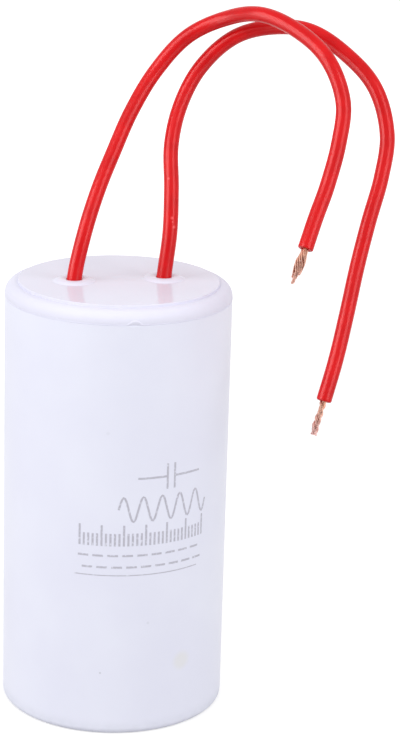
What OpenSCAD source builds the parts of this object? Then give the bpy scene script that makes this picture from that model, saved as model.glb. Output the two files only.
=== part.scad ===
// Motor start capacitor: a film roll potted in a plastic case, with a welded lid and two flying leads.
// Sizes are in millimetres. The case stands on z = 0 with its axis on Z, and the lead holes lie on X.

/* [Case] */
// Outside diameter of the case
case_diameter = 45; // [40:0.5:60]
// Height of the case's rim above its base
case_height = 84.5; // [60:0.5:120]
// Thickness of the side wall
case_wall = 1.5; // [1:0.1:2.5]
// Thickness of the base
case_floor = 1.8; // [1.2:0.1:3]
// Radius of the outside edge of the base
base_edge_radius = 1.2; // [0.4:0.1:2]
// Radius of the inside corner, where the wall meets the base
inner_corner_radius = 1; // [0.4:0.1:2]
// Diameter of the dimple that the moulding gate leaves under the base
gate_diameter = 5; // [3:0.5:10]
// Depth of that dimple
gate_depth = 0.4; // [0.2:0.1:0.8]

/* [Lid] */
// Height of the flat panel above the case's rim
lid_rise = 3.2; // [2.6:0.1:5]
// Height of the step round the panel
panel_step = 0.5; // [0.2:0.1:0.8]
// Radius of the panel's top edge
panel_edge_radius = 0.2; // [0.1:0.05:0.2]
// Width of the shoulder, from the panel's edge to the case's side
shoulder_width = 2.6; // [2.3:0.1:4]
// Radius that rounds the shoulder into the side
shoulder_radius = 2.2; // [1:0.1:2.3]
// Thickness of the panel
lid_thickness = 2; // [1.2:0.1:2.6]
// Depth of the spigot below the rim
spigot_depth = 4; // [2:0.5:8]
// Thickness of the spigot's wall
spigot_wall = 1.4; // [1:0.1:2]
// Gap between the spigot and the case's wall
spigot_clearance = 0.1; // [0.05:0.05:0.3]
// Depth of the fine groove left at the weld between lid and case
seam_depth = 0.15; // [0.05:0.05:0.3]

/* [Lead holes] */
// Distance between the centres of the two holes
hole_spacing = 18; // [12:0.5:22]
// Gap between a lead and its hole
hole_clearance = 0.1; // [0.05:0.05:0.3]
// Distance from the hole to the foot of its round collar
collar_foot = 2.6; // [2:0.1:3]
// Distance from the hole to the crown of its collar
collar_crown = 1; // [0.6:0.1:1.4]
// Height of the collar's crown above the panel
collar_height = 0.5; // [0.3:0.1:0.8]

/* [Leads] */
// Outside diameter of the insulation
lead_diameter = 3; // [2.4:0.1:3.6]
// Thickness of the insulation
insulation_wall = 0.7; // [0.5:0.05:0.8]
// Gap between the conductor and its insulation
conductor_clearance = 0.05; // [0.02:0.01:0.1]
// Length of bare conductor at each free end
strip_length = 6.6; // [4:0.1:12]
// Number of strands that show round a conductor
strand_count = 9; // [7:1:12]
// Diameter of one strand
strand_diameter = 0.42; // [0.3:0.02:0.5]
// Turn of the strands along a free end, in degrees
strand_twist = 260; // [0:10:540]
// How far the left lead's strands spread towards the tip
splay_a = 1.25; // [1:0.05:1.6]
// How far the right lead's strands spread towards the tip
splay_b = 1.05; // [1:0.05:1.6]

/* [Element] */
// Resin between the winding and the case's wall
side_gap = 1; // [0.6:0.1:3]
// Resin between the element and the case's floor
element_lift = 3; // [2.8:0.1:6]
// Resin over the element
resin_cover = 1.2; // [0.6:0.1:2]
// Free room between the resin and the lid
head_room = 14; // [13:0.5:20]
// Outside diameter of the tube that the film is wound on
core_diameter = 10; // [8:0.5:14]
// Wall of that tube
core_wall = 1; // [0.6:0.1:1.6]
// Thickness of the sprayed contact on each end of the roll
spray_thickness = 0.6; // [0.3:0.1:1]
// Gap between pieces that the resin or the solder bonds
bond_gap = 0.05; // [0.02:0.01:0.1]

/* [Inner wiring] */
// Radius of the right lead's bends under the lid
bend_radius = 6; // [5.5:0.5:6.5]
// Diameter of a solder joint where it wets the contact
solder_diameter = 5; // [4:0.5:6]
// Diameter of a solder joint at its tip
solder_tip_diameter = 2.5; // [2.2:0.1:3.5]
// Height of a solder joint
solder_height = 2.2; // [1.8:0.1:2.4]
// Bare conductor between a solder joint and the insulation
solder_stand_off = 1.5; // [0.5:0.5:4]
// Radius of the right lead's bend under the roll
tail_radius = 2; // [1.5:0.1:3]
// Distance from the core tube to the lower solder joint
solder_margin = 1.5; // [0.5:0.5:4]
// Solder between the lower contact and the conductor
tail_gap = 0.3; // [0.2:0.1:0.5]

/* [Hidden] */
$fn = 96;

// Route of the left lead's free stretch, from its hole's centre on the panel to the end of its insulation
route_a = [
    [0, 0, 0], [2, 0.5, 9.3], [5, 3, 17.3], [8.5, 6, 24.3], [12.5, 9, 31.8], [17.5, 11, 39.3],
    [23.5, 10, 46.3], [30, 6.5, 50.3], [35.5, -1, 52.3], [41, -8, 50.3], [45.5, -14.5, 45.8],
    [48, -18, 38.3], [47, -20, 30.8], [44.5, -22, 22.8], [42, -24, 17.3], [39.5, -26.5, 11.8]
];
// Route of the right lead's free stretch, from its hole's centre on the panel to the end of its insulation
route_b = [
    [0, 0, 0], [1, 0, 9.3], [1.5, 2, 17.8], [2, 5.5, 25.8], [4.5, 9, 33.3], [8.5, 10, 40.3],
    [14.5, 8.5, 46.3], [21, 5.5, 48.8], [28, 1, 48.8], [34.5, -2.5, 44.8], [39.5, -7, 38.8],
    [41.5, -10, 30.3], [40, -12.5, 22.3], [37, -15.5, 14.3], [34.5, -17.5, 5.8], [32, -20.5, -2.7],
    [29.5, -23, -11.2], [26.8, -25.2, -18.8]
];
// Number of flats round a swept lead
lead_sides = 8;
// Number of straight steps in each of the right lead's bends under the lid
bend_steps = 2;
// Number of straight steps in the right lead's bend under the roll
tail_steps = 4;
// Number of slices along the twisted strands of a bare end
strand_slices = 8;
// Room for a cut to run past the face that it opens
overrun = 1;

case_r = case_diameter / 2;
bore_r = case_r - case_wall;
spigot_r = bore_r - spigot_clearance;
panel_r = case_r - shoulder_width;
panel_z = case_height + lid_rise;
ledge_z = panel_z - panel_step;
shoulder_r = min(shoulder_radius, shoulder_width, ledge_z - case_height);
lid_under_z = panel_z - lid_thickness;
hole_x = hole_spacing / 2;
hole_r = lead_diameter / 2 + hole_clearance;
collar_round = (pow(collar_foot - collar_crown, 2) + pow(collar_height, 2)) / (2 * collar_height);

winding_r = bore_r - side_gap;
core_r = core_diameter / 2;
core_bore_r = core_r - core_wall;
resin_z = lid_under_z - head_room;
element_top_z = resin_z - resin_cover;
element_base_z = case_floor + element_lift;

lead_bore = lead_diameter - 2 * insulation_wall;
conductor_diameter = lead_bore - 2 * conductor_clearance;
strand_crest_r = conductor_diameter / 2;
strand_valley_r = strand_crest_r - strand_diameter / 2;
// Radii round a lead's section: even for the sleeve, a groove and a flat crest for each strand
sleeve_radii = [for (k = [1:lead_sides]) lead_diameter / 2];
bore_radii = [for (k = [1:lead_sides]) lead_bore / 2 / cos(180 / lead_sides)];
strand_radii = [for (k = [1:strand_count]) each [strand_valley_r, strand_crest_r, strand_crest_r]];

bend_angle = acos(1 - hole_x / (2 * bend_radius));
bend_height = 2 * bend_radius * sin(bend_angle);
bend_top_z = lid_under_z - (head_room - bend_height) / 2;
bend_base_z = bend_top_z - bend_height;
tail_z = element_base_z - tail_gap - conductor_diameter / 2;
tail_reach = core_r + solder_margin + solder_diameter / 2;
tail_end_x = tail_reach + solder_tip_diameter / 2;
strip_a_z = element_top_z + solder_height + solder_stand_off;
strip_b_z = tail_z + tail_radius + solder_stand_off;
tail_sag = tail_radius * (1 - cos(45 / tail_steps));

free_a = [for (step = route_a) [-hole_x, 0, panel_z] + step];
free_b = [for (step = route_b) [hole_x, 0, panel_z] + step];
tail_arc = arc(tail_radius, tail_z + tail_radius, tail_radius, 270, 180, tail_steps);
lower_bend = arc(bend_radius, bend_base_z, bend_radius, 180, 180 - bend_angle, bend_steps);
upper_bend = arc(hole_x - bend_radius, bend_top_z, bend_radius, -bend_angle, 0, bend_steps, 1);
insulation_a = concat([[-hole_x, 0, strip_a_z]], free_a);
conductor_a = concat([[-hole_x, 0, element_top_z]], free_a);
insulation_b = concat([[0, 0, strip_b_z]], lower_bend, upper_bend, free_b);
conductor_b = concat([[tail_end_x, 0, tail_z]], tail_arc, lower_bend, upper_bend, free_b);

// Points of an arc in the XZ plane, from one angle to another
function arc(x, z, radius, from, to, steps, first = 0) =
    [for (i = [first:steps])
        let (turn = from + (to - from) * i / steps) [x + radius * cos(turn), 0, z + radius * sin(turn)]];

function unit(v) = v / norm(v);

// Direction of a path at one of its points
function heading(path, i) = unit(path[min(i + 1, len(path) - 1)] - path[max(i - 1, 0)]);

// Sideways axis that is carried along a path without twisting, for a path that starts square to Y
function carried(path, i) =
    i == 0 ? [0, 1, 0] : let (t = heading(path, i), n = carried(path, i - 1)) unit(n - (n * t) * t);

// Points of a ring square to a path, one for each radius
function ring(path, i, radii, turn = 0) =
    let (t = heading(path, i), n = carried(path, i), b = cross(t, n), count = len(radii))
    [for (k = [0:count - 1])
        let (angle = turn + 360 * k / count) path[i] + radii[k] * (n * cos(angle) + b * sin(angle))];

// Triangles that join one ring of points to another
function band(from, to, count) =
    [for (k = [0:count - 1])
        let (next = (k + 1) % count, a = from * count, b = to * count)
        each [[a + k, b + next, a + next], [a + k, b + k, b + next]]];

// Solid with a ring of points at each step, closed at both ends
module skinned_rod(rings) {
    last = len(rings) - 1;
    count = len(rings[0]);
    foot = [for (k = [0:count - 1]) k];
    tip = [for (k = [count - 1:-1:0]) last * count + k];
    polyhedron(
        points = [for (loop = rings) each loop],
        faces = concat([foot], [for (i = [0:last - 1]) each band(i, i + 1, count)], [tip])
    );
}

// Hollow solid whose rings run out along the outside and back along the bore
module skinned_tube(rings) {
    count = len(rings[0]);
    polyhedron(
        points = [for (loop = rings) each loop],
        faces = [for (i = [0:len(rings) - 1]) each band(i, (i + 1) % len(rings), count)]
    );
}

// What a round of some radius takes off a square corner at the origin
module corner_waste(radius) {
    difference() {
        translate([-overrun, -overrun])
            square(radius + overrun);
        translate([radius, radius])
            circle(radius);
    }
}

// Half section of the groove at the weld, shared by the case and the lid
module seam_section() {
    translate([case_r, case_height])
        rotate(45)
            square(seam_depth * sqrt(2), center = true);
}

// Half section of the room inside the case up to some height, held back from the wall by a gap
module room_section(top_z, gap) {
    difference() {
        translate([0, case_floor])
            square([bore_r - gap, top_z - case_floor]);
        translate([bore_r - gap, case_floor])
            mirror([1, 0])
                corner_waste(inner_corner_radius);
    }
}

// Half section of a tube between two heights
module tube_section(inner, outer, base_z, top_z) {
    translate([inner, base_z])
        square([outer - inner, top_z - base_z]);
}

// Room round the right lead's bare tail, from the axis to the lower solder joint
module tail_room() {
    diameter = conductor_diameter + 2 * (bond_gap + tail_sag);
    translate([0, 0, tail_z + tail_radius])
        cylinder(h = solder_stand_off, d = diameter);
    translate([tail_radius, 0, tail_z + tail_radius])
        rotate([90, 0, 0])
            rotate(180)
                rotate_extrude(angle = 90)
                    translate([tail_radius, 0])
                        circle(d = diameter);
    translate([tail_radius, 0, tail_z])
        rotate([0, 90, 0])
            cylinder(h = tail_end_x - tail_radius + bond_gap, d = diameter);
}

// Cone of solder standing on z = 0, or the room that leaves a gap all round it
module solder_cone(gap = 0) {
    translate([0, 0, -gap])
        cylinder(
            h = solder_height + 2 * gap, d1 = solder_diameter + 2 * gap, d2 = solder_tip_diameter + 2 * gap
        );
}

module place_top_solder() {
    translate([-hole_x, 0, element_top_z])
        children();
}

module place_bottom_solder() {
    translate([tail_reach, 0, element_base_z])
        mirror([0, 0, 1])
            children();
}

// Conductor along a path, with the strands of its bare end twisted and spread towards the tip
module conductor(path, splay) {
    last = len(path) - 1;
    step = heading(path, last) * strip_length / strand_slices;
    whole = concat(path, [for (j = [1:strand_slices]) path[last] + j * step]);
    rings = [for (i = [0:len(whole) - 1])
        let (bare = max(i - last, 0) / strand_slices)
        ring(whole, i, strand_radii * (1 + (splay - 1) * bare), strand_twist * bare)];
    color([0.78, 0.48, 0.32])
        skinned_rod(rings);
}

// Sleeve along a path
module insulation(path) {
    last = len(path) - 1;
    outside = [for (i = [0:last]) ring(path, i, sleeve_radii)];
    bore = [for (i = [last:-1:0]) ring(path, i, bore_radii)];
    color([0.80, 0.06, 0.08])
        skinned_tube(concat(outside, bore));
}

module case() {
    color([0.93, 0.93, 0.96])
        difference() {
            rotate_extrude()
                difference() {
                    square([case_r, case_height]);
                    translate([case_r, 0])
                        mirror([1, 0])
                            corner_waste(base_edge_radius);
                    room_section(case_height + overrun, 0);
                    seam_section();
                }
            translate([0, 0, -overrun])
                cylinder(h = gate_depth + overrun, d = gate_diameter);
        }
}

module lid() {
    color([0.91, 0.91, 0.96])
        difference() {
            union() {
                rotate_extrude()
                    lid_section();
                for (x = [-hole_x, hole_x])
                    translate([x, 0, panel_z])
                        rotate_extrude()
                            collar_section();
            }
            for (x = [-hole_x, hole_x])
                translate([x, 0, lid_under_z - overrun])
                    cylinder(h = lid_thickness + collar_height + 2 * overrun, r = hole_r);
        }
}

// Half section of a collar: a low round ridge, rooted in the panel
module collar_section() {
    root = lid_thickness / 4;
    intersection() {
        translate([hole_r + collar_crown, collar_height - collar_round])
            circle(collar_round);
        translate([0, -root])
            square([hole_r + collar_foot + collar_round, root + collar_height + overrun]);
    }
}

// Half section of the lid: shoulder, raised panel and spigot
module lid_section() {
    difference() {
        union() {
            tube_section(0, case_r, case_height, ledge_z);
            tube_section(0, panel_r, case_height, panel_z);
            tube_section(0, spigot_r, case_height - spigot_depth, ledge_z);
        }
        translate([case_r, ledge_z])
            rotate(180)
                corner_waste(shoulder_r);
        translate([panel_r, panel_z])
            rotate(180)
                corner_waste(panel_edge_radius);
        translate([0, case_height - spigot_depth - overrun])
            square([spigot_r - spigot_wall, lid_under_z - case_height + spigot_depth + overrun]);
        seam_section();
    }
}

module winding() {
    color([0.80, 0.82, 0.84])
        rotate_extrude()
            tube_section(
                core_r + bond_gap,
                winding_r,
                element_base_z + spray_thickness,
                element_top_z - spray_thickness
            );
}

module core_tube() {
    color([0.75, 0.78, 0.72])
        rotate_extrude()
            tube_section(core_bore_r, core_r, element_base_z, element_top_z);
}

module end_spray(base_z) {
    color([0.55, 0.57, 0.60])
        rotate_extrude()
            tube_section(core_r + bond_gap, winding_r, base_z, base_z + spray_thickness);
}

module top_end_spray() {
    end_spray(element_top_z - spray_thickness);
}

module bottom_end_spray() {
    end_spray(element_base_z);
}

module potting_resin() {
    color([0.16, 0.15, 0.14])
        difference() {
            rotate_extrude()
                difference() {
                    room_section(resin_z, bond_gap);
                    tube_section(
                        core_bore_r - bond_gap, winding_r + bond_gap, element_base_z, element_top_z
                    );
                }
            translate([0, 0, strip_b_z - bond_gap])
                cylinder(h = resin_z, d = lead_diameter + 2 * bond_gap);
            tail_room();
            place_top_solder()
                solder_cone(bond_gap);
            place_bottom_solder()
                solder_cone(bond_gap);
        }
}

module top_solder() {
    color([0.70, 0.71, 0.73])
        difference() {
            place_top_solder()
                solder_cone();
            translate([-hole_x, 0, element_top_z - overrun])
                cylinder(h = solder_height + 2 * overrun, d = conductor_diameter + 2 * bond_gap);
        }
}

module bottom_solder() {
    color([0.70, 0.71, 0.73])
        difference() {
            place_bottom_solder()
                solder_cone();
            tail_room();
        }
}

module lead_a_insulation() {
    insulation(insulation_a);
}

module lead_a_conductor() {
    conductor(conductor_a, splay_a);
}

module lead_b_insulation() {
    insulation(insulation_b);
}

module lead_b_conductor() {
    conductor(conductor_b, splay_b);
}

case();
lid();
winding();
core_tube();
top_end_spray();
bottom_end_spray();
potting_resin();
top_solder();
bottom_solder();
lead_a_insulation();
lead_a_conductor();
lead_b_insulation();
lead_b_conductor();
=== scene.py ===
"""Looks of a motor start capacitor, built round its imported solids.

Sizes are in metres, in the solids' own frame: the case stands on z = 0 with its axis on Z, the two lead
holes lie on X and the front faces -Y. Angles round the case are counted from the front towards +X.
"""

import math
import random
from bisect import bisect_right
from dataclasses import dataclass
from itertools import accumulate

import bmesh
import bpy
from bpy.props import FloatProperty, FloatVectorProperty, IntProperty, PointerProperty
from bpy.types import Operator, Panel, PropertyGroup
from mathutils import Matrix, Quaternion, Vector
from mathutils.geometry import interpolate_bezier


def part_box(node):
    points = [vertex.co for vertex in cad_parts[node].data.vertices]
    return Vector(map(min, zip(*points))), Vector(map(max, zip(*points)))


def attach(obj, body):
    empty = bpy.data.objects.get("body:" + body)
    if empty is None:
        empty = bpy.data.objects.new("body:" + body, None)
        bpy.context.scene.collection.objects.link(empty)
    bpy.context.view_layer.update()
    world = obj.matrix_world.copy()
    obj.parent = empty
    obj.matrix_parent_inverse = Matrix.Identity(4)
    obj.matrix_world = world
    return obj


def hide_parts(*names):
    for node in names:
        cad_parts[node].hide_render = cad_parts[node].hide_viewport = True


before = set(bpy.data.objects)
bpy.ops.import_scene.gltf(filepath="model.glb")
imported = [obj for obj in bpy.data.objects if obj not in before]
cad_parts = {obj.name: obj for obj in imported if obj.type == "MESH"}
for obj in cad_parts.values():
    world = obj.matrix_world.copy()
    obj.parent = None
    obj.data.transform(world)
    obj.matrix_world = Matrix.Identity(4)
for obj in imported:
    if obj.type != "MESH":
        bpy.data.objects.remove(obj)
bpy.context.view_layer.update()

bl_info = {
    "name": "Motor start capacitor",
    "version": (1, 0, 0),
    "blender": (4, 5, 0),
    "location": "3D View > Sidebar > Capacitor",
    "description": "Dresses a motor start capacitor: moulded case, welded lid, flying leads and studio",
    "category": "Object",
}

BODY = "root"
# Height of the collars round the lead holes above the lid's panel
COLLAR_RISE = 0.0005

case_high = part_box("case")[1]
wall_radius = case_high.x
seam_height = case_high.z
panel_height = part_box("lid")[1].z - COLLAR_RISE
element_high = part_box("top_end_spray")[1].z


# Leads

# Route of the left lead, from its hole's centre on the panel to the end of its insulation
ROUTE_A = [
    (0, 0, 0), (0.002, 0.0005, 0.0093), (0.005, 0.003, 0.0173), (0.0085, 0.006, 0.0243),
    (0.0125, 0.009, 0.0318), (0.0175, 0.011, 0.0393), (0.0235, 0.010, 0.0463), (0.030, 0.0065, 0.0503),
    (0.0355, -0.001, 0.0523), (0.041, -0.008, 0.0503), (0.0455, -0.0145, 0.0458), (0.048, -0.018, 0.0383),
    (0.047, -0.020, 0.0308), (0.0445, -0.022, 0.0228), (0.042, -0.024, 0.0173), (0.0395, -0.0265, 0.0118),
]
# Route of the right lead, from its hole's centre on the panel to the end of its insulation
ROUTE_B = [
    (0, 0, 0), (0.001, 0, 0.0093), (0.0015, 0.002, 0.0178), (0.002, 0.0055, 0.0258),
    (0.0045, 0.009, 0.0333), (0.0085, 0.010, 0.0403), (0.0145, 0.0085, 0.0463), (0.021, 0.0055, 0.0488),
    (0.028, 0.001, 0.0488), (0.0345, -0.0025, 0.0448), (0.0395, -0.007, 0.0388), (0.0415, -0.010, 0.0303),
    (0.040, -0.0125, 0.0223), (0.037, -0.0155, 0.0143), (0.0345, -0.0175, 0.0058),
    (0.032, -0.0205, -0.0027), (0.0295, -0.023, -0.0112), (0.0268, -0.0252, -0.0188),
]
# Distance of each lead hole from the case's axis
HOLE_OFFSET = 0.009
# Bends of the right lead under the lid, and where it turns out to the lower joint
LID_BEND_RADIUS = 0.006
LID_BEND_MIDDLE = 0.0787
TAIL_RADIUS = 0.002
TAIL_END = 0.01025
TAIL_HEIGHT = 0.00375
# Height of the upper joint, and how far past a joint or its bend the insulation starts
JOINT_HEIGHT = 0.0022
JOINT_STAND_OFF = 0.0015
# Depth below the panel of the left lead's last waypoint under the lid
LEFT_LEAD_DEPTH = 0.008


def arc_points(x, z, radius, start, end, steps=4):
    """Points of an arc in the XZ plane between two angles in degrees."""
    turns = [math.radians(start + (end - start) * i / steps) for i in range(steps + 1)]
    return [(x + radius * math.cos(turn), 0, z + radius * math.sin(turn)) for turn in turns]


def left_lead_under_lid():
    """Waypoints from the upper joint straight up to the lid, and the number of bare ones."""
    sleeve_foot = element_high + JOINT_HEIGHT + JOINT_STAND_OFF
    heights = (element_high, sleeve_foot, panel_height - LEFT_LEAD_DEPTH)
    return [(-HOLE_OFFSET, 0, height) for height in heights], 1


def right_lead_under_lid():
    """Waypoints from the lower joint through the core and over to the hole, and the number of bare ones."""
    angle = math.degrees(math.acos(1 - HOLE_OFFSET / (2 * LID_BEND_RADIUS)))
    rise = LID_BEND_RADIUS * math.sin(math.radians(angle))
    low, high = LID_BEND_MIDDLE - rise, LID_BEND_MIDDLE + rise
    bare = [(TAIL_END, 0, TAIL_HEIGHT)]
    bare += arc_points(TAIL_RADIUS, TAIL_HEIGHT + TAIL_RADIUS, TAIL_RADIUS, 270, 180)
    sleeved = [(0, 0, TAIL_HEIGHT + TAIL_RADIUS + JOINT_STAND_OFF)]
    sleeved += arc_points(LID_BEND_RADIUS, low, LID_BEND_RADIUS, 180, 180 - angle)
    sleeved += arc_points(HOLE_OFFSET - LID_BEND_RADIUS, high, LID_BEND_RADIUS, -angle, 0)[1:]
    return bare + sleeved, len(bare)


@dataclass
class Lead:
    """A flying lead: its route, the form of its cut sleeve and the way its strands were twisted.

    hole is its hole's place on X. under_lid holds its waypoints in the case and how many of them are bare.
    cut_round rounds the edge of the sleeve's cut. The bare end has a number of plies, a twist in degrees
    that gathers along it by the power tightening, and widths at shares of its length. tail and ragged are
    shares of the strip length: what the longest strand has beyond it, and the most that a strand falls short
    of that. spread is the most that a strand drifts out, lean the shift of the tip and paled its paleness.
    """

    name: str
    hole: float
    under_lid: tuple
    route: list
    length: float
    cut_round: float
    plies: int
    twist: float
    tightening: float
    widths: list
    tail: float
    ragged: float
    spread: float
    lean: tuple
    paled: float
    seed: int

    def waypoints(self):
        """All waypoints from the inner joint to the end of the insulation."""
        exit_point = Vector(self.exit_point())
        return [Vector(p) for p in self.under_lid[0]] + [exit_point + Vector(p) for p in self.route]

    def exit_point(self):
        """Centre of the lead's hole, level with the panel."""
        return (self.hole, 0, panel_height)

    def bare_heights(self, strip_length):
        """Heights of the bare end's tip and of the sleeve's cut."""
        before, cut = self.waypoints()[-2:]
        return (cut + (cut - before).normalized() * strip_length).z, cut.z


LEADS = [
    Lead(
        name="lead_a", hole=-HOLE_OFFSET, under_lid=left_lead_under_lid(), route=ROUTE_A, length=0.131,
        cut_round=0.00028, plies=1, twist=-190, tightening=0.9,
        widths=[(0, 0.9), (0.12, 1.0), (0.42, 1.55), (0.65, 1.3), (1, 0.6)],
        tail=0.09, ragged=0.42, spread=0.2, lean=(-0.0003, 0, 0), paled=0.4, seed=4,
    ),
    Lead(
        name="lead_b", hole=HOLE_OFFSET, under_lid=right_lead_under_lid(), route=ROUTE_B, length=0.151,
        cut_round=0.00045, plies=3, twist=-520, tightening=0.95,
        widths=[(0, 0.92), (0.12, 0.88), (0.25, 0.60), (0.42, 0.86), (0.8, 0.92), (1, 1.05)],
        tail=0.02, ragged=0.30, spread=0.3, lean=(-0.0002, 0, 0), paled=0.9, seed=12,
    ),
]


# Settings

def length(name, description, value):
    """A length property, in metres."""
    return FloatProperty(name=name, description=description, default=value, unit="LENGTH")


def sides(name, description, value):
    """A property for the number of flats round a rod."""
    return IntProperty(name=name, description=description, default=value, min=3)


def colour(name, description, value):
    """A colour property, linear, with full alpha."""
    return FloatVectorProperty(
        name=name, description=description, default=(*value, 1), subtype="COLOR", size=4
    )


def position(name, description, value):
    """A property for a place, in metres."""
    return FloatVectorProperty(
        name=name, description=description, default=value, subtype="TRANSLATION", size=3
    )


def wattage(name, description, value):
    """A property for a lamp's power, in watts."""
    return FloatProperty(name=name, description=description, default=value, unit="POWER")


class CapacitorSizes(PropertyGroup):
    """Sizes of what is added to the solids."""

    lead_diameter: length("Lead diameter", "Outside diameter of the insulation", 0.003)
    lead_bore: length("Lead bore", "Inside diameter of the insulation", 0.0016)
    conductor_diameter: length("Conductor", "Diameter of the bundle of strands", 0.0015)
    strand_diameter: length("Strand", "Diameter of one copper strand", 0.00032)
    strip_length: length("Strip length", "Bare strands at a lead's free end", 0.0066)
    seat_depth: length("Seat depth", "How far into its hole a lead's free stretch starts", 0.002)
    bead_reach: length("Bead reach", "How far the weld bead stands out of the wall", 0.00005)
    bead_half_height: length("Bead half height", "Half the height of the weld bead", 0.00013)
    groove_depth: length("Groove depth", "Depth of the groove that the bead fills", 0.0001)
    mark_stroke: length("Stroke", "Width of a printed line", 0.00042)
    ink_film: length("Ink film", "Thickness of the printed ink", 0.000012)
    strand_sides: sides("Strand sides", "Flats round one strand", 8)
    sleeve_sides: sides("Sleeve sides", "Flats round the insulation", 28)


class CapacitorColours(PropertyGroup):
    """Colours of the finishes."""

    case_white: colour("Case", "White of the moulded case", (0.815, 0.825, 0.94))
    case_shade: colour("Case shade", "Duller white of the case's faint clouds", (0.79, 0.797, 0.921))
    lid_white: colour("Lid", "White of the moulded lid", (0.785, 0.782, 0.905))
    lid_shade: colour("Lid shade", "Duller white of the lid's faint clouds", (0.765, 0.76, 0.885))
    speck: colour("Speck", "Dark specks in the plastic", (0.40, 0.42, 0.47))
    yellowed: colour("Yellowed", "A yellowed spot on the case", (0.78, 0.77, 0.70))
    red: colour("Insulation", "Red of the lead insulation", (0.68, 0.009, 0.011))
    deep_red: colour("Deep red", "Darker red in the insulation's clouds", (0.60, 0.006, 0.008))
    # Pale red painted on the nicks as their glints: a painted highlight
    nick_glint: colour("Nick", "Pale red of the nicks in the insulation", (0.88, 0.12, 0.12))
    copper: colour("Copper", "Bright copper strands", (0.84, 0.465, 0.34))
    pale_copper: colour("Pale copper", "Pinkish copper at the tips of the strands", (0.86, 0.56, 0.53))
    dull_copper: colour("Dull copper", "Tarnished copper", (0.36, 0.19, 0.165))
    ink: colour("Ink", "Grey of the printed marks", (0.50, 0.49, 0.57))
    film: colour("Film", "Metallised film", (0.62, 0.64, 0.66))
    core: colour("Core", "Plastic of the winding core", (0.55, 0.58, 0.52))
    zinc: colour("Zinc", "Sprayed zinc", (0.40, 0.41, 0.43))
    resin: colour("Resin", "Potting resin", (0.05, 0.05, 0.045))
    solder: colour("Solder", "Dull solder", (0.52, 0.53, 0.55))
    floor: colour("Floor", "Pale floor", (0.54, 0.54, 0.54))


class CapacitorStudio(PropertyGroup):
    """Camera and lamps."""

    camera_place: position("Camera", "Where the camera stands", (-0.08172, -0.43753, 0.20250))
    camera_aim: position("Aim", "Point at the middle of the picture", (0.01689, 0, 0.06850))
    camera_roll: FloatProperty(
        name="Roll", description="Tilt of the camera round its line of sight", default=math.radians(1.687),
        subtype="ANGLE",
    )
    lens: FloatProperty(
        name="Lens", description="Focal length on a 36 mm long side, in millimetres", default=113.3
    )
    left_power: wattage("Left softbox", "Power of the left softbox", 2.4)
    right_power: wattage("Right softbox", "Power of the right softbox", 2.0)
    top_power: wattage("Top softbox", "Power of the top softbox", 0.67)
    back_power: wattage("Back softbox", "Power of the low softbox behind", 1.2)
    left_strip_power: wattage("Left strip", "Power of the left strip in the leads' gloss", 20.0)
    right_strip_power: wattage("Right strip", "Power of the right strip in the leads' gloss", 9.8)
    ambient: FloatProperty(name="Ambient", description="Level of the light from all round", default=0.58)


# Shader trees

class Signal:
    """An output of a shader node. Arithmetic on it adds Math nodes to its tree."""

    def __init__(self, finish, socket):
        self.finish = finish
        self.socket = socket

    def __add__(self, other):
        return self.finish.math("ADD", self, other)

    def __sub__(self, other):
        return self.finish.math("SUBTRACT", self, other)

    def __rsub__(self, other):
        return self.finish.math("SUBTRACT", other, self)

    def __mul__(self, other):
        return self.finish.math("MULTIPLY", self, other)

    __radd__ = __add__
    __rmul__ = __mul__


def find_socket(sockets, key):
    """The socket with that number, identifier or name."""
    if isinstance(key, int):
        return sockets[key]
    return next(s for s in sockets if key in (s.identifier, s.name))


# Share of a spot's radius over which it is full
SPOT_CORE = 0.35


class Finish:
    """A shader tree that is filled node by node."""

    def __init__(self, tree):
        self.tree = tree
        tree.nodes.clear()

    def node(self, kind, settings=None, sockets=None, out=0):
        """Adds a node, applies its settings, fills or links its sockets, and gives one of its outputs."""
        made = self.tree.nodes.new("ShaderNode" + kind)
        for name, value in (settings or {}).items():
            setattr(made, name, value)
        for key, value in (sockets or {}).items():
            socket = find_socket(made.inputs, key)
            if isinstance(value, Signal):
                self.tree.links.new(value.socket, socket)
            else:
                socket.default_value = value
        return Signal(self, find_socket(made.outputs, out)) if made.outputs else None

    def math(self, operation, first, second=0.0):
        """A Math node."""
        return self.node("Math", {"operation": operation}, {"Value": first, "Value_001": second})

    def place(self):
        """The point of the surface, in the solids' frame."""
        return self.node("TexCoord", out="Object")

    def coordinate(self, place, axis):
        """One coordinate of a point."""
        return self.node("SeparateXYZ", None, {"Vector": place}, out=axis)

    def distance(self, place, centre):
        """Distance between two points."""
        sockets = {"Vector": place, "Vector_001": centre}
        return self.node("VectorMath", {"operation": "DISTANCE"}, sockets, out="Value")

    def noise(self, place, scale, detail):
        """Cloudy noise from 0 to 1, with its scale in clouds per metre."""
        return self.node("TexNoise", None, {"Vector": place, "Scale": scale, "Detail": detail})

    def ramp(self, value, low, high):
        """0 below low, 1 above high, and smooth between."""
        sockets = {"Value": value, "From Min": low, "From Max": high}
        return self.node("MapRange", {"interpolation_type": "SMOOTHSTEP"}, sockets)

    def mix(self, factor, first, second):
        """A colour between two, by a factor."""
        sockets = {"Factor_Float": factor, "A_Color": first, "B_Color": second}
        return self.node("Mix", {"data_type": "RGBA"}, sockets, out="Result_Color")

    def bump(self, height, strength, distance):
        """A normal that is roughened by a height."""
        return self.node("Bump", None, {"Height": height, "Strength": strength, "Distance": distance})

    def spot(self, place, centre, radius):
        """1 at a point, falling to 0 at a radius."""
        return 1 - self.ramp(self.distance(place, centre), radius * SPOT_CORE, radius)

    def surface(self, **sockets):
        """A Principled shader on the tree's output."""
        titles = {name: name.replace("_", " ").title().replace("Ior", "IOR") for name in sockets}
        shader = self.node("BsdfPrincipled", None, {titles[name]: value for name, value in sockets.items()})
        self.node("OutputMaterial", None, {"Surface": shader})


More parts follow.
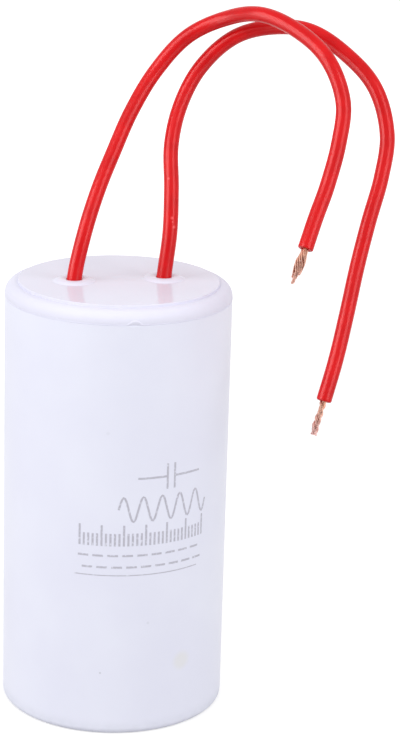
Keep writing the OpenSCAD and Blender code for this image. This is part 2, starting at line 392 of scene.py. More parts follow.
def new_finish(name):
    """An empty material and its tree."""
    material = bpy.data.materials.new(name)
    material.use_nodes = True
    return material, Finish(material.node_tree)


def wall_point(arc, height, radius=wall_radius):
    """Point at a distance round the wall from its front, and a height."""
    angle = arc / wall_radius
    return Vector((radius * math.sin(angle), -radius * math.cos(angle), height))


# Dark specks in the case, as distance round the wall, height, radius and strength
SPECKS = [
    (-0.00647, 0.01324, 0.0003, 0.45),
    (0.00288, 0.02365, 0.0004, 0.18),
    (-0.00573, 0.06300, 0.0005, 0.10),
]
# The yellowed spot, in the same way
YELLOWED_SPOT = (0.01063, 0.01426, 0.0026, 0.4)
# Heights over which the noisy darkening of the base edge fades out, and how much it darkens it
BASE_DARKENING_FULL = 0.0006
BASE_DARKENING_END = 0.0035
BASE_DARKENING_STRENGTH = 0.25
# Height below the panel over which the lid's gloss fades
SHOULDER_BLEND = 0.0004


def case_plastic(colours):
    """Satin white plastic, faintly clouded, with dark specks, a yellowed spot and a base edge that is darker
    in noisy patches.
    """
    material, finish = new_finish("case_plastic")
    place = finish.place()
    clouds = finish.noise(place, scale=55, detail=3)
    grain = finish.noise(place, scale=2600, detail=2)
    near_base = 1 - finish.ramp(finish.coordinate(place, "Z"), BASE_DARKENING_FULL, BASE_DARKENING_END)
    # Darker and rougher in noisy patches towards the base edge, fading out a few millimetres up
    base_darkening = finish.noise(place, scale=700, detail=3) * near_base
    clouded = finish.ramp(clouds, low=0.3, high=0.7)
    shade = finish.mix(clouded, tuple(colours.case_white), tuple(colours.case_shade))
    spots = [(YELLOWED_SPOT, colours.yellowed)] + [(speck, colours.speck) for speck in SPECKS]
    for (arc, height, radius, strength), tint in spots:
        spot = finish.spot(place, wall_point(arc, height), radius)
        shade = finish.mix(spot * strength, shade, tuple(tint))
    shade = finish.mix(base_darkening * BASE_DARKENING_STRENGTH, shade, tuple(colours.speck))
    finish.surface(
        base_color=shade,
        roughness=0.34 + clouds * 0.08 + base_darkening * 0.3,
        normal=finish.bump(grain, strength=0.12, distance=0.00004),
        ior=1.49,
    )
    return material


def lid_plastic(colours):
    """White plastic of the lid and of the weld, glossy on the panel and duller on the shoulder."""
    material, finish = new_finish("lid_plastic")
    place = finish.place()
    clouds = finish.noise(place, scale=70, detail=3)
    ripple = finish.noise(place, scale=420, detail=2)
    height = finish.coordinate(place, "Z")
    shoulder = 1 - finish.ramp(height, panel_height - SHOULDER_BLEND, panel_height)
    clouded = finish.ramp(clouds, low=0.3, high=0.7)
    finish.surface(
        base_color=finish.mix(clouded, tuple(colours.lid_white), tuple(colours.lid_shade)),
        roughness=0.13 + clouds * 0.07 + shoulder * 0.22,
        normal=finish.bump(ripple, strength=0.06, distance=0.00006),
        ior=1.2,
    )
    return material


# Painted glints on nicks in the right lead's insulation, pale spots that stand in for highlights, as places
# from its hole's centre and radii
NICK_GLINTS = [
    ((0.00113, -0.00102, 0.01240), 0.0004),
    ((0.00153, -0.00126, 0.01064), 0.0004),
    ((0.00122, -0.00116, 0.01163), 0.0002),
    ((0.00074, 0.00141, 0.01980), 0.0003),
]
# How far each spot is painted towards the pale red of a glint
NICK_GLINT_STRENGTH = 0.8


def red_insulation(colours):
    """Glossy extruded insulation, faintly clouded, with painted glints as pale spots on a few nicks in the
    right lead.
    """
    material, finish = new_finish("red_insulation")
    place = finish.place()
    clouds = finish.noise(place, scale=260, detail=3)
    skin = finish.noise(place, scale=2400, detail=2)
    clouded = finish.ramp(clouds, low=0.35, high=0.7)
    shade = finish.mix(clouded, tuple(colours.red), tuple(colours.deep_red))
    hole = Vector((HOLE_OFFSET, 0, panel_height))
    # Each nick gets a pale spot: a painted highlight that stands in for its glint
    for away, radius in NICK_GLINTS:
        nick_glint = finish.spot(place, hole + Vector(away), radius)
        shade = finish.mix(nick_glint * NICK_GLINT_STRENGTH, shade, tuple(colours.nick_glint))
    finish.surface(
        base_color=shade,
        roughness=0.2 + clouds * 0.08,
        normal=finish.bump(skin, strength=0.08, distance=0.00003),
        ior=1.25,
    )
    return material


# Most that tarnish takes of the copper's colour
TARNISH = 0.6


def bare_copper(colours, name, paled, tip, cut):
    """Bright drawn copper that pales from the sleeve's cut to its tip and is dulled in patches."""
    material, finish = new_finish(name)
    place = finish.place()
    pale = paled * (1 - finish.ramp(finish.coordinate(place, "Z"), low=tip, high=cut))
    patches = finish.noise(place, scale=900, detail=3)
    dulled = TARNISH * finish.ramp(patches, low=0.45, high=0.75)
    drawn = finish.noise(place, scale=5200, detail=1)
    shade = finish.mix(pale, tuple(colours.copper), tuple(colours.pale_copper))
    finish.surface(
        base_color=finish.mix(dulled, shade, tuple(colours.dull_copper)),
        metallic=1.0,
        roughness=0.26 + dulled * 0.2,
        normal=finish.bump(drawn, strength=0.1, distance=0.00002),
    )
    return material


# Most that wear takes of the ink's colour
INK_WEAR = 0.8


def marking_ink(colours):
    """Thin grey ink, worn in specks down to the plastic."""
    material, finish = new_finish("marking_ink")
    place = finish.place()
    worn = finish.ramp(finish.noise(place, scale=2600, detail=2), low=0.52, high=0.72)
    finish.surface(
        base_color=finish.mix(worn * INK_WEAR, tuple(colours.ink), tuple(colours.case_white)),
        roughness=0.5 - worn * 0.1,
    )
    return material


# Ripple of the film's turns, in radians for each metre from the axis
FILM_RIPPLE = 16000


def wound_film(colours):
    """Metallised film, with the edges of its turns as fine rings."""
    material, finish = new_finish("metallised_film")
    place = finish.place()
    x, y = (finish.coordinate(place, axis) for axis in "XY")
    from_axis = finish.math("SQRT", x * x + y * y)
    turns = finish.math("SINE", from_axis * FILM_RIPPLE)
    finish.surface(
        base_color=tuple(colours.film),
        metallic=1.0,
        roughness=0.32 + turns * 0.06,
        normal=finish.bump(turns, strength=0.2, distance=0.00002),
    )
    return material


def grainy(name, tint, dark, scale, roughness, metallic=0.0):
    """A plain finish that is mottled and roughened by grain."""
    material, finish = new_finish(name)
    grain = finish.noise(finish.place(), scale, detail=3)
    mottled = finish.ramp(grain, low=0.3, high=0.7)
    darker = (*(c * dark for c in tint[:3]), 1)
    finish.surface(
        base_color=finish.mix(mottled, tuple(tint), darker),
        metallic=metallic,
        roughness=roughness + grain * 0.2,
        normal=finish.bump(grain, strength=0.3, distance=0.00005),
    )
    return material


# Meshes

def directions(points):
    """Direction of a line at each of its points."""
    last = len(points) - 1
    return [(points[min(i + 1, last)] - points[max(i - 1, 0)]).normalized() for i in range(last + 1)]


class Spine:
    """A smooth line through waypoints, with a sideways axis that is carried along it without twisting."""

    def __init__(self, waypoints, samples=14):
        knots = [Vector(p) for p in waypoints]
        ways = directions(knots)
        self.points = [knots[0]]
        marks = [0]
        for i in range(len(knots) - 1):
            third = (knots[i + 1] - knots[i]).length / 3
            start, end = knots[i] + ways[i] * third, knots[i + 1] - ways[i + 1] * third
            self.points += interpolate_bezier(knots[i], start, end, knots[i + 1], samples)[1:]
            marks.append(len(self.points) - 1)
        steps = [(b - a).length for a, b in zip(self.points, self.points[1:])]
        self.lengths = list(accumulate(steps, initial=0.0))
        self.stations = [self.lengths[mark] for mark in marks]
        self._carry_sides()

    def _carry_sides(self):
        """Works out the direction and the sideways axis at each point."""
        self.ways = directions(self.points)
        side = self.ways[0].orthogonal().normalized()
        self.sides = []
        for way in self.ways:
            side = (side - way * side.dot(way)).normalized()
            self.sides.append(side)

    def at(self, distance):
        """The point, direction and two cross axes at a distance along the line."""
        i = min(max(bisect_right(self.lengths, distance) - 1, 0), len(self.points) - 2)
        share = (distance - self.lengths[i]) / (self.lengths[i + 1] - self.lengths[i])
        point = self.points[i].lerp(self.points[i + 1], share)
        way = self.ways[i].lerp(self.ways[i + 1], share).normalized()
        side = self.sides[i].lerp(self.sides[i + 1], share)
        side = (side - way * side.dot(way)).normalized()
        return point, way, side, way.cross(side)

    def ring(self, distance, radii, turn=0.0):
        """Points square to the line at a distance along it, one for each radius."""
        point, _, side, up = self.at(distance)
        step = 2 * math.pi / len(radii)
        return [
            point + (side * math.cos(turn + step * k) + up * math.sin(turn + step * k)) * radius
            for k, radius in enumerate(radii)
        ]


class Skin:
    """A mesh that is made by joining loops of points."""

    def __init__(self):
        self.mesh = bmesh.new()

    def loft(self, loops, closed=False):
        """Joins each loop to the next. A closed loft joins the last to the first, an open one is capped."""
        rows = [[self.mesh.verts.new(point) for point in loop] for loop in loops]
        following = rows[1:] + rows[:1] if closed else rows[1:]
        for low, high in zip(rows, following):
            for k in range(len(low)):
                after = (k + 1) % len(low)
                self.mesh.faces.new((low[k], low[after], high[after], high[k]))
        if not closed:
            self.mesh.faces.new(rows[0][::-1])
            self.mesh.faces.new(rows[-1])

    def piece(self, name, material, crease=40):
        """Ends the mesh and makes it a piece of the capacitor."""
        bmesh.ops.recalc_face_normals(self.mesh, faces=self.mesh.faces)
        data = bpy.data.meshes.new(name)
        self.mesh.to_mesh(data)
        self.mesh.free()
        data.shade_smooth()
        data.set_sharp_from_angle(angle=math.radians(crease))
        data.materials.append(material)
        made = bpy.data.objects.new(name, data)
        bpy.context.scene.collection.objects.link(made)
        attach(made, BODY)
        return made


def spread_over(start, end, step):
    """Even distances from start to end, about a step apart."""
    count = max(1, round(abs(end - start) / step))
    return [start + (end - start) * i / count for i in range(count + 1)]


# Spacing of the rings of a sleeve's skin, of its bore, of a strand and of the core
SLEEVE_STEP = 0.0007
BORE_STEP = 0.004
STRAND_STEP = 0.00022
CORE_STEP = 0.0012
# Rings round a sleeve's cut edge, and the chamfer of its bore
CUT_STEPS = 5
BORE_CHAMFER = 0.00012
# How far the bare strands reach back into the sleeve
BURIED_STRANDS = 0.0025
# Strands round the core's skin, and the length in which they go once round it
CORE_STRANDS = 9
CORE_LAY = 0.016
# Strands of a single bundle: how many are in each ring, and the ring's radius in strand diameters
INNER_STRANDS, INNER_RING = 5, 0.85
OUTER_STRANDS, OUTER_RING = 11, 1.75
# Strands of a bundle of plies: the ring of the plies, and the ring of strands in each ply
PLY_RING = 1.1
PLY_STRANDS, PLY_STRAND_RING = 5, 0.78
# Chance in a strand's form: how rare short ones are, the most it closes in, and its slip in radians
SHORT_RARITY = 1.6
CLOSING_IN = -0.15
SLIP = 0.25
# A strand's cut tip: length of its chamfer and radius of its end, in strand radii
TIP_CHAMFER = 0.3
TIP_RADIUS = 0.6


def sleeve_outline(start, end, sizes, cut_round):
    """Distance and radius of each ring of a sleeve: along the skin, round the cut, back along the bore."""
    outer, bore = sizes.lead_diameter / 2, sizes.lead_bore / 2
    outline = [(along, outer) for along in spread_over(start, end - cut_round, SLEEVE_STEP)]
    for i in range(1, CUT_STEPS + 1):
        turn = math.pi / 2 * i / CUT_STEPS
        outline.append((end - cut_round * (1 - math.sin(turn)), outer - cut_round * (1 - math.cos(turn))))
    outline.append((end, bore + BORE_CHAMFER))
    outline += [(along, bore) for along in spread_over(end - BORE_CHAMFER, start, BORE_STEP)]
    return outline


def build_sleeve(name, spine, start, end, sizes, cut_round, material):
    """A sleeve between two distances along a lead."""
    skin = Skin()
    outline = sleeve_outline(start, end, sizes, cut_round)
    skin.loft([spine.ring(along, [radius] * sizes.sleeve_sides) for along, radius in outline], closed=True)
    return skin.piece(name, material)


def build_core(name, spine, end, sizes, material):
    """The bundle of strands inside a sleeve, as one lobed rod with the lay of the strands."""
    crest = sizes.conductor_diameter / 2
    valley = crest - sizes.strand_diameter / 3
    radii = [valley, crest, crest] * CORE_STRANDS
    skin = Skin()
    lay = -2 * math.pi / CORE_LAY
    skin.loft([spine.ring(along, radii, lay * along) for along in spread_over(0, end, CORE_STEP)])
    return skin.piece(name, material, crease=80)


def circle_of(count, radius, centre=(0, 0)):
    """Points evenly round a centre in the section of a bundle."""
    turns = [2 * math.pi * k / count for k in range(count)]
    return [(centre[0] + radius * math.cos(turn), centre[1] + radius * math.sin(turn)) for turn in turns]


def strand_places(plies, diameter):
    """Place of each strand in the bundle's section: a ring in a ring, or a ring of plies."""
    if plies == 1:
        inner = circle_of(INNER_STRANDS, diameter * INNER_RING)
        return inner + circle_of(OUTER_STRANDS, diameter * OUTER_RING)
    places = []
    for centre in circle_of(plies, diameter * PLY_RING):
        places += circle_of(PLY_STRANDS, diameter * PLY_STRAND_RING, centre)
    return places


def width_at(widths, share):
    """Width of a bundle at a share of its length, smooth between given widths."""
    for (low, start), (high, end) in zip(widths, widths[1:]):
        if share <= high:
            step = (share - low) / (high - low)
            return start + (end - start) * step * step * (3 - 2 * step)
    return widths[-1][1]


def build_strands(lead, spine, bare_start, sizes, material):
    """The twisted strands of a stripped end, each a rod of its own, ragged at the tip."""
    chance = random.Random(lead.seed)
    start = bare_start - BURIED_STRANDS
    radius = sizes.strand_diameter / 2
    lean = Vector(lead.lean)
    skin = Skin()
    for x, y in strand_places(lead.plies, sizes.strand_diameter):
        shortened = lead.ragged * chance.random() ** SHORT_RARITY
        end = bare_start + sizes.strip_length * (1 + lead.tail - shortened)
        drift = chance.uniform(CLOSING_IN, lead.spread)
        slip = chance.uniform(-SLIP, SLIP)
        middle = []
        for along in spread_over(start, end, STRAND_STEP):
            bare = max(0.0, along - bare_start) / sizes.strip_length
            out = width_at(lead.widths, bare) + drift * bare
            turn = math.radians(lead.twist) * bare ** lead.tightening + slip * bare
            point, _, side, up = spine.at(along)
            across = (x * math.cos(turn) - y * math.sin(turn)) * out
            over = (x * math.sin(turn) + y * math.cos(turn)) * out
            middle.append(point + side * across + up * over + lean * bare ** 2)
        strand = Spine(middle, samples=2)
        tip = strand.lengths[-1]
        rings = [(along, radius) for along in strand.lengths[:-1]]
        rings += [(tip - radius * TIP_CHAMFER, radius), (tip, radius * TIP_RADIUS)]
        skin.loft([strand.ring(along, [width] * sizes.strand_sides) for along, width in rings])
    return skin.piece(lead.name + "_strands", material, crease=60)


# Sections round the weld bead, and points in each
BEAD_SECTIONS = 900
BEAD_POINTS = 9
# Ripples of the bead, as waves round the case and their phase, and its least share of its reach and height
BEAD_RIPPLES = [(23, 1.1), (61, 0.4)]
LEAST_REACH = 0.4
LEAST_HEIGHT = 0.8
# A curl of flash on the weld: its angle, half width round the wall, reach, rise and the lift of its crest
CURL_ANGLE = math.radians(-2.4)
CURL_HALF_WIDTH = 0.0012
CURL_REACH = 0.00011
CURL_RISE = 0.00085
CURL_CREST = 0.8
# How steeply the curl falls at its sides
CURL_FALL = 2.8


def bead_section(angle, sizes):
    """Points of the weld bead's section at an angle round the case."""
    waves = [math.sin(count * angle + phase) for count, phase in BEAD_RIPPLES]
    ripple = (1 + sum(waves) / len(waves)) / 2
    away = abs(angle - CURL_ANGLE) * wall_radius / CURL_HALF_WIDTH
    swell = math.exp(-(away**CURL_FALL))
    reach = sizes.bead_reach * (LEAST_REACH + (1 - LEAST_REACH) * ripple) + CURL_REACH * swell
    half = sizes.bead_half_height * (LEAST_HEIGHT + (1 - LEAST_HEIGHT) * ripple)
    low, high = seam_height - half, seam_height + half + CURL_RISE * swell
    foot = wall_radius - sizes.groove_depth
    points = []
    for k in range(BEAD_POINTS):
        share = k / (BEAD_POINTS - 1)
        radius = foot + (reach + sizes.groove_depth) * math.sin(math.pi * share ** (1 + CURL_CREST * swell))
        height = low + (high - low) * (1 - math.cos(math.pi * share)) / 2
        points.append((radius * math.sin(angle), -radius * math.cos(angle), height))
    return points


# Printed marks: left and right ends round the wall from its front, foot and top
SYMBOL_ROW = (0.0003, 0.0140, 0.0512, 0.0564)
WAVE_ROW = (-0.0034, 0.0160, 0.0450, 0.0500)
SCALE_ROW = (-0.0110, 0.0152, 0.0400, 0.0443)
DASH_ROW = (-0.0113, 0.0150, 0.0348, 0.0388)
UNDERLINE = (-0.0120, 0.0140, 0.0339)
# Gap of the symbol's plates, and waves, ticks and dashes in their rows
PLATE_GAP = 0.0016
WAVE_COUNT = 5
SCALE_COUNT = 31
DASH_COUNT = 9
# Ticks from one tall one to the next, and the height of the others
TALL_EVERY = 5
SHORT_TICK = 0.6
# Distance of the dashes from the foot and the top of their row, and a dash's share of the pitch
DASH_INSET = 0.0008
DASH_SHARE = 0.72
# Spacing of the points along a printed line
MARK_STEP = 0.0003


def symbol_strokes():
    """A capacitor's circuit symbol: two plates with a line to each."""
    left, right, foot, top = SYMBOL_ROW
    middle, level = (left + right) / 2, (foot + top) / 2
    plates = (middle - PLATE_GAP / 2, middle + PLATE_GAP / 2)
    strokes = [[(plate, foot), (plate, top)] for plate in plates]
    return strokes + [[(left, level), (plates[0], level)], [(plates[1], level), (right, level)]]


def wave_strokes():
    """A sine wave, for alternating current."""
    left, right, foot, top = WAVE_ROW
    count = round((right - left) / MARK_STEP)
    points = []
    for i in range(count + 1):
        share = i / count
        swing = math.sin(2 * math.pi * WAVE_COUNT * share)
        points.append((left + (right - left) * share, (foot + top) / 2 + (top - foot) / 2 * swing))
    return [points]


def scale_strokes():
    """A row of ticks, with a tall one at even steps."""
    left, right, foot, top = SCALE_ROW
    strokes = []
    for i in range(SCALE_COUNT):
        arc = left + (right - left) * i / (SCALE_COUNT - 1)
        share = SHORT_TICK if i % TALL_EVERY else 1
        strokes.append([(arc, foot), (arc, foot + (top - foot) * share)])
    return strokes


def dash_strokes():
    """Two rows of dashes, the second one out of step."""
    left, right, foot, top = DASH_ROW
    pitch = (right - left) / DASH_COUNT
    upper, lower = top - DASH_INSET, foot + DASH_INSET
    strokes = []
    for i in range(DASH_COUNT):
        start, end = left + pitch * i, left + pitch * (i + 1)
        strokes.append([(start, upper), (start + pitch * DASH_SHARE, upper)])
        strokes.append([(end - pitch * DASH_SHARE, lower), (end, lower)])
    return strokes


def underline_strokes():
    """The line under the marks."""
    left, right, level = UNDERLINE
    return [[(left, level), (right, level)]]


def stroke_loops(points, width, film):
    """Loops of a printed line on the wall: flat, as thick as its film and square at its ends."""
    fine = [Vector(points[0])]
    for start, end in zip(points, points[1:]):
        start, end = Vector(start), Vector(end)
        steps = spread_over(0, (end - start).length, MARK_STEP)
        fine += [start.lerp(end, step / steps[-1]) for step in steps[1:]]
    loops = []
    for point, way in zip(fine, directions(fine)):
        across = Vector((-way.y, way.x)) * width / 2
        edges = (point + across, point - across)
        corners = [(edges[0], -film), (edges[1], -film), (edges[1], film), (edges[0], film)]
        loops.append([wall_point(p.x, p.y, wall_radius + rise) for p, rise in corners])
    return loops


# Stage

# Long side of the camera's sensor in millimetres, and the nearest and farthest that the camera sees
CAMERA_SENSOR = 36.0
CAMERA_REACH = (0.01, 20)
FLOOR_RADIUS = 4.0
FLOOR_SIDES = 96
# Where it shows, the floor is a grey that takes the shadow and a glow that rises with distance to white
FLOOR_SHADE = 0.50
NEAR_GLOW, FAR_GLOW = 0.60, 0.84
NEAR_FLOOR, FAR_FLOOR = 0.12, 0.60
# The black card: its distance, half its angle as seen from the case, its height and its shade
FLAG_DISTANCE = 0.30
FLAG_HALF_ANGLE = 29
FLAG_HEIGHT = 0.50
FLAG_SHADE = 0.01
# Point that the lamps face
LAMP_AIM = Vector((0, 0, 0.07))
# Places of the lamps: azimuth and elevation in degrees, distance, width and height
LEFT_SOFTBOX = (-80, 27, 0.75, 0.45, 0.70)
RIGHT_SOFTBOX = (52, 25, 0.75, 0.42, 0.70)
BACK_SOFTBOX = (168, 8, 0.80, 0.80, 0.22)
TOP_SOFTBOX = (-22, 40, 0.45, 0.50, 0.35)
LEFT_STRIP = (-75, 0, 0.75, 0.62, 1.40)
RIGHT_STRIP = (32, 0, 0.75, 0.42, 1.40)
# Collection of the pieces that mirror the strips
LEAD_GLOSS = "lead_gloss"


def towards(azimuth, elevation):
    """Direction from the capacitor at an azimuth from the front and an elevation, in degrees."""
    a, e = math.radians(azimuth), math.radians(elevation)
    return Vector((math.sin(a) * math.cos(e), -math.cos(a) * math.cos(e), math.sin(e)))


def grey(level):
    """A grey of a linear level."""
    return (level, level, level, 1)


def shown_rays(finish):
    """1 for rays that show the background: from the camera, or by a reflection or through glass."""
    seen = finish.node("LightPath", out="Is Camera Ray")
    reflected = finish.node("LightPath", out="Is Glossy Ray")
    return seen + reflected + finish.node("LightPath", out="Is Transmission Ray")


def floor_finish(colours):
    """A pale floor that shows white and still takes the capacitor's shadow."""
    material, finish = new_finish("floor")
    plain = finish.node("BsdfDiffuse", None, {"Color": tuple(colours.floor)})
    shade = finish.node("BsdfDiffuse", None, {"Color": grey(FLOOR_SHADE)})
    away = finish.distance(finish.place(), (0, 0, 0))
    level = finish.mix(finish.ramp(away, NEAR_FLOOR, FAR_FLOOR), grey(NEAR_GLOW), grey(FAR_GLOW))
    glow = finish.node("Emission", None, {"Color": level, "Strength": 1.0})
    white = finish.node("AddShader", None, {0: shade, 1: glow})
    both = finish.node("MixShader", None, {0: shown_rays(finish), 1: plain, 2: white})
    finish.node("OutputMaterial", None, {"Surface": both})
    material.cycles.emission_sampling = "NONE"
    return material


def flag_finish():
    """Black card."""
    material, finish = new_finish("flag")
    card = finish.node("BsdfDiffuse", None, {"Color": grey(FLAG_SHADE)})
    finish.node("OutputMaterial", None, {"Surface": card})
    return material


def stage_sheet(name, corners, material):
    """A flat sheet that belongs to the stage."""
    data = bpy.data.meshes.new(name)
    data.from_pydata(corners, [], [list(range(len(corners)))])
    data.materials.append(material)
    sheet = bpy.data.objects.new(name, data)
    bpy.context.scene.collection.objects.link(sheet)
    return sheet


def lay_floor(colours):
    """A wide round floor under the capacitor."""
    turns = [2 * math.pi * k / FLOOR_SIDES for k in range(FLOOR_SIDES)]
    rim = [(FLOOR_RADIUS * math.cos(turn), FLOOR_RADIUS * math.sin(turn), 0) for turn in turns]
    stage_sheet("floor", rim, floor_finish(colours))


def hang_flag(studio):
    """A black card in front that only reflections see, for a dark line down the middle of the leads."""
    facing = math.degrees(math.atan2(studio.camera_place[0], -studio.camera_place[1]))
    feet = [towards(facing + side, 0) * FLAG_DISTANCE for side in (-FLAG_HALF_ANGLE, FLAG_HALF_ANGLE)]
    rise = Vector((0, 0, FLAG_HEIGHT))
    flag = stage_sheet("front_flag", [feet[0], feet[1], feet[1] + rise, feet[0] + rise], flag_finish())
    flag.visible_camera = flag.visible_diffuse = flag.visible_shadow = flag.visible_transmission = False


def softbox(name, place, power, mirrored=False):
    """A soft rectangular lamp that faces the capacitor, and shows in reflections only if it is mirrored."""
    azimuth, elevation, distance, width, height = place
    data = bpy.data.lights.new(name, "AREA")
    data.shape = "RECTANGLE"
    data.size, data.size_y, data.energy = width, height, power
    lamp = bpy.data.objects.new(name, data)
    direction = towards(azimuth, elevation)
    lamp.location = LAMP_AIM + direction * distance
    lamp.rotation_mode = "QUATERNION"
    lamp.rotation_quaternion = (-direction).to_track_quat("-Z", "Y")
    lamp.visible_camera = False
    lamp.visible_glossy = mirrored
    bpy.context.scene.collection.objects.link(lamp)
    return lamp


def gloss_strip(name, place, power, leads):
    """A tall lamp that gives the leads a band of gloss, and that only the leads mirror and shade."""
    strip = softbox(name, place, power, mirrored=True)
    strip.visible_diffuse = False
    strip.light_linking.receiver_collection = leads
    strip.light_linking.blocker_collection = leads


def hang_lamps(studio):
    """The four softboxes and the two strips."""
    softbox("left_softbox", LEFT_SOFTBOX, studio.left_power)
    softbox("right_softbox", RIGHT_SOFTBOX, studio.right_power)
    softbox("back_softbox", BACK_SOFTBOX, studio.back_power)
    softbox("top_softbox", TOP_SOFTBOX, studio.top_power, mirrored=True)
    leads = bpy.data.collections.new(LEAD_GLOSS)
    gloss_strip("left_strip", LEFT_STRIP, studio.left_strip_power, leads)
    gloss_strip("right_strip", RIGHT_STRIP, studio.right_strip_power, leads)


def place_camera(studio):
    """The camera, at the photograph's angle."""
    data = bpy.data.cameras.new("camera")
    data.sensor_fit = "AUTO"
    data.sensor_width = CAMERA_SENSOR
    data.lens = studio.lens
    data.clip_start, data.clip_end = CAMERA_REACH
    camera = bpy.data.objects.new("camera", data)
    place, aim = Vector(studio.camera_place), Vector(studio.camera_aim)
    camera.location = place
    camera.rotation_mode = "QUATERNION"
    level = (aim - place).to_track_quat("-Z", "Y")
    camera.rotation_quaternion = level @ Quaternion((0, 0, 1), studio.camera_roll)
    bpy.context.scene.collection.objects.link(camera)
    bpy.context.scene.camera = camera


def light_world(studio):
    """Even light from all round, with a white background."""
    world = bpy.data.worlds.new("studio")
    world.use_nodes = True
    finish = Finish(world.node_tree)
    strength = studio.ambient + shown_rays(finish) * (1 - studio.ambient)
    sky = finish.node("Background", None, {"Color": (1, 1, 1, 1), "Strength": strength})
    finish.node("OutputWorld", None, {"Surface": sky})
    bpy.context.scene.world = world


# Operators

def dress(node, material):
    """Gives a solid its finish."""
    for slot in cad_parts[node].material_slots:
        slot.material = material


class CAPACITOR_OT_stage(Operator):
    """Places the camera, the lamps and the floor"""

    bl_idname = "capacitor.stage"
    bl_label = "Stage"

    def execute(self, context):
        scene = context.scene
        studio, colours = scene.capacitor_studio, scene.capacitor_colours
        scene.view_settings.view_transform = "Standard"
        place_camera(studio)
        light_world(studio)
        hang_lamps(studio)
        lay_floor(colours)
        hang_flag(studio)
        return {"FINISHED"}


class CAPACITOR_OT_leads(Operator):
    """Builds the two flying leads with their stripped ends"""

    bl_idname = "capacitor.leads"
    bl_label = "Leads"

    def execute(self, context):
        sizes, colours = context.scene.capacitor_sizes, context.scene.capacitor_colours
        red = red_insulation(colours)
        for lead in LEADS:
            heights = lead.bare_heights(sizes.strip_length)
            self.build(lead, sizes, red, bare_copper(colours, lead.name + "_copper", lead.paled, *heights))
        return {"FINISHED"}

    def build(self, lead, sizes, red, copper):
        """The free sleeve, the sleeve under the lid, the conductor inside them and the bare strands."""
        waypoints = lead.waypoints()
        heading = (waypoints[-1] - waypoints[-2]).normalized()
        spine = Spine(waypoints + [waypoints[-1] + heading * sizes.strip_length])
        inner, bare_count = lead.under_lid
        sleeve_start = spine.stations[bare_count]
        seat = spine.stations[len(inner)] - sizes.seat_depth
        end = spine.stations[-2]
        sleeve = build_sleeve(lead.name + "_sleeve", spine, seat, end, sizes, lead.cut_round, red)
        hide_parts(lead.name + "_insulation")
        build_sleeve(lead.name + "_inner_sleeve", spine, sleeve_start, seat, sizes, BORE_CHAMFER, red)
        core = build_core(lead.name + "_core", spine, end - BURIED_STRANDS, sizes, copper)
        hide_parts(lead.name + "_conductor")
        strands = build_strands(lead, spine, end, sizes, copper)
        bpy.data.collections[LEAD_GLOSS].objects.link(sleeve)
        lead.exit_point()
        [spine.at(along)[0] for along in spread_over(seat, end, SLEEVE_STEP)]


class CAPACITOR_OT_case(Operator):
    """Finishes the case and the lid, and adds the weld between them"""

    bl_idname = "capacitor.case"
    bl_label = "Case and lid"

    def execute(self, context):
        sizes, colours = context.scene.capacitor_sizes, context.scene.capacitor_colours
        plastic = lid_plastic(colours)
        dress("case", case_plastic(colours))
        dress("lid", plastic)
        skin = Skin()
        angles = [2 * math.pi * i / BEAD_SECTIONS for i in range(BEAD_SECTIONS)]
        skin.loft([bead_section(angle - math.pi, sizes) for angle in angles], closed=True)
        skin.piece("weld_bead", plastic)
        return {"FINISHED"}


class CAPACITOR_OT_marks(Operator):
    """Prints plain marks on the front of the case"""

    bl_idname = "capacitor.marks"
    bl_label = "Printed marks"

    def execute(self, context):
        sizes = context.scene.capacitor_sizes
        skin = Skin()
        for strokes in (symbol_strokes(), wave_strokes(), scale_strokes(), dash_strokes()):
            for points in strokes:
                skin.loft(stroke_loops(points, sizes.mark_stroke, sizes.ink_film))
        for points in underline_strokes():
            skin.loft(stroke_loops(points, sizes.mark_stroke / 2, sizes.ink_film))
        skin.piece("printed_marks", marking_ink(context.scene.capacitor_colours))
        return {"FINISHED"}


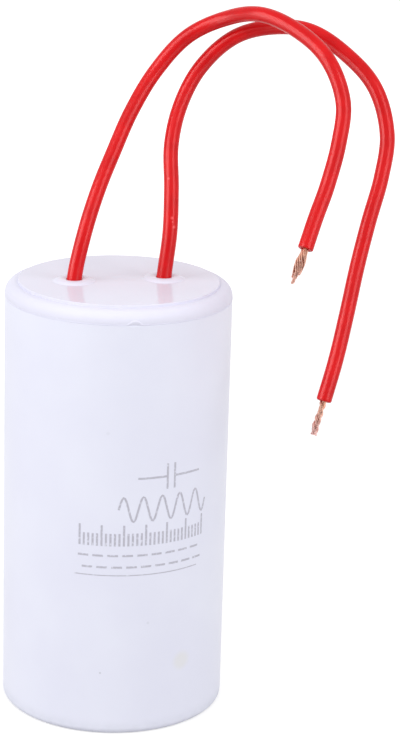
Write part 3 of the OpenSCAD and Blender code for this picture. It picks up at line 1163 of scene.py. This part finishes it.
class CAPACITOR_OT_element(Operator):
    """Finishes the wound element, its joints and the resin round it"""

    bl_idname = "capacitor.element"
    bl_label = "Element"

    def execute(self, context):
        colours = context.scene.capacitor_colours
        core = grainy("core_plastic", colours.core, dark=0.9, scale=300, roughness=0.4)
        resin = grainy("resin", colours.resin, dark=0.6, scale=500, roughness=0.25)
        zinc = grainy("sprayed_zinc", colours.zinc, dark=0.7, scale=2200, roughness=0.5, metallic=1.0)
        solder = grainy("solder", colours.solder, dark=0.85, scale=600, roughness=0.35, metallic=1.0)
        dress("winding", wound_film(colours))
        dress("core_tube", core)
        dress("potting_resin", resin)
        for node in ("top_end_spray", "bottom_end_spray"):
            dress(node, zinc)
        for node in ("top_solder", "bottom_solder"):
            dress(node, solder)
        return {"FINISHED"}


class CAPACITOR_PT_panel(Panel):
    """Lists the pieces of the capacitor and their settings"""

    bl_label = "Capacitor"
    bl_idname = "CAPACITOR_PT_panel"
    bl_space_type = "VIEW_3D"
    bl_region_type = "UI"
    bl_category = "Capacitor"

    def draw(self, context):
        for operator in OPERATORS:
            self.layout.operator(operator.bl_idname)
        for group in SETTINGS:
            settings = getattr(context.scene, group)
            box = self.layout.box()
            for name in settings.__annotations__:
                box.prop(settings, name)


SETTINGS = {
    "capacitor_sizes": CapacitorSizes,
    "capacitor_colours": CapacitorColours,
    "capacitor_studio": CapacitorStudio,
}
OPERATORS = (
    CAPACITOR_OT_stage,
    CAPACITOR_OT_leads,
    CAPACITOR_OT_case,
    CAPACITOR_OT_marks,
    CAPACITOR_OT_element,
)
CLASSES = (*SETTINGS.values(), *OPERATORS, CAPACITOR_PT_panel)


def register():
    """Registers the classes and hangs the settings on the scene."""
    for cls in CLASSES:
        bpy.utils.register_class(cls)
    for name, group in SETTINGS.items():
        setattr(bpy.types.Scene, name, PointerProperty(type=group))


def unregister():
    """Takes the settings off the scene and unregisters the classes."""
    for name in SETTINGS:
        delattr(bpy.types.Scene, name)
    for cls in reversed(CLASSES):
        bpy.utils.unregister_class(cls)


def main():
    """Registers the classes, and builds the capacitor and its stage."""
    register()
    bpy.ops.capacitor.stage()
    bpy.ops.capacitor.leads()
    bpy.ops.capacitor.case()
    bpy.ops.capacitor.marks()
    bpy.ops.capacitor.element()


if __name__ == "__main__":
    main()
